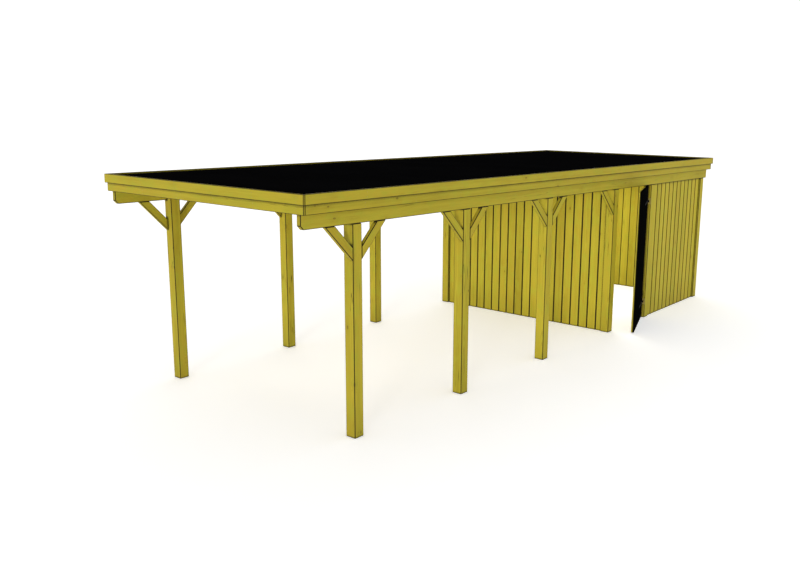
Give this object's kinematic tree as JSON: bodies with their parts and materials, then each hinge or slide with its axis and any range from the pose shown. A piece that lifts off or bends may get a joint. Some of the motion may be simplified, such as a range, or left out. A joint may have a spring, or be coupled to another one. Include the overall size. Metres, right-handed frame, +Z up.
{
  "type": "flat-roofed timber carport with storage room",
  "caption": "Timber carport with a flat black roof on braced posts, a two-tier fascia, and a board-clad storage room with a hinged side door across its rear end.",
  "frame": {"origin": "centre of the foot of the front left post, on the ground", "axes": "+X across the width to the side with the door, +Y along the length from the open front to the storage room, +Z up"},
  "size_m": [3.3002, 8.9202, 2.415],
  "materials": {
    "post_timber": "pressure-treated, sawn, olive-yellow",
    "beam_timber": "pressure-treated, planed, olive-yellow",
    "roof_boarding": "planed softwood boarding",
    "roof_membrane": "matt black sheet",
    "fascia_timber": "pressure-treated, planed, olive-yellow",
    "cladding": "pressure-treated tongue-and-groove boards",
    "door_face": "black stained boards",
    "door_timber": "pressure-treated, planed, olive-yellow",
    "hinge_steel": "black coated steel"
  },
  "bodies": {
    "carport": {"left_post_1": "post_timber", "left_post_2": "post_timber", "left_post_3": "post_timber", "left_post_4": "post_timber", "left_post_5": "post_timber", "left_post_6": "post_timber", "right_post_1": "post_timber", "right_post_2": "post_timber", "right_post_3": "post_timber", "right_post_4": "post_timber", "right_post_5": "post_timber", "right_post_6": "post_timber", "left_beam": "beam_timber", "left_braces_1": "beam_timber", "left_braces_2": "beam_timber", "left_braces_3": "beam_timber", "left_brace_4": "beam_timber", "right_beam": "beam_timber", "right_braces_1": "beam_timber", "right_braces_2": "beam_timber", "right_braces_3": "beam_timber", "right_brace_4": "beam_timber", "open_rafters": "beam_timber", "room_rafters": "beam_timber", "roof_deck": "roof_boarding", "roof_membrane": "roof_membrane", "front_upper_fascia": "fascia_timber", "rear_upper_fascia": "fascia_timber", "left_upper_fascia": "fascia_timber", "right_upper_fascia": "fascia_timber", "front_lower_fascia": "fascia_timber", "rear_lower_fascia": "fascia_timber", "left_lower_fascia": "fascia_timber", "right_lower_fascia": "fascia_timber", "front_wall": "cladding", "rear_wall": "cladding", "left_wall_front": "cladding", "left_wall_rear": "cladding", "right_wall": "cladding", "lower_hinge_pin": "hinge_steel", "upper_hinge_pin": "hinge_steel"},
    "door": {"door_boards": "door_face", "door_frame": "door_timber", "lower_hinge_strap": "hinge_steel", "upper_hinge_strap": "hinge_steel"}
  },
  "joints": [
    {"name": "door_hinge", "type": "hinge", "parent": "carport", "child": "door", "pos_m": [2.835, 6.131, 0], "axis": [0, 0, 1], "range_deg": [-20, 75]}
  ]
}
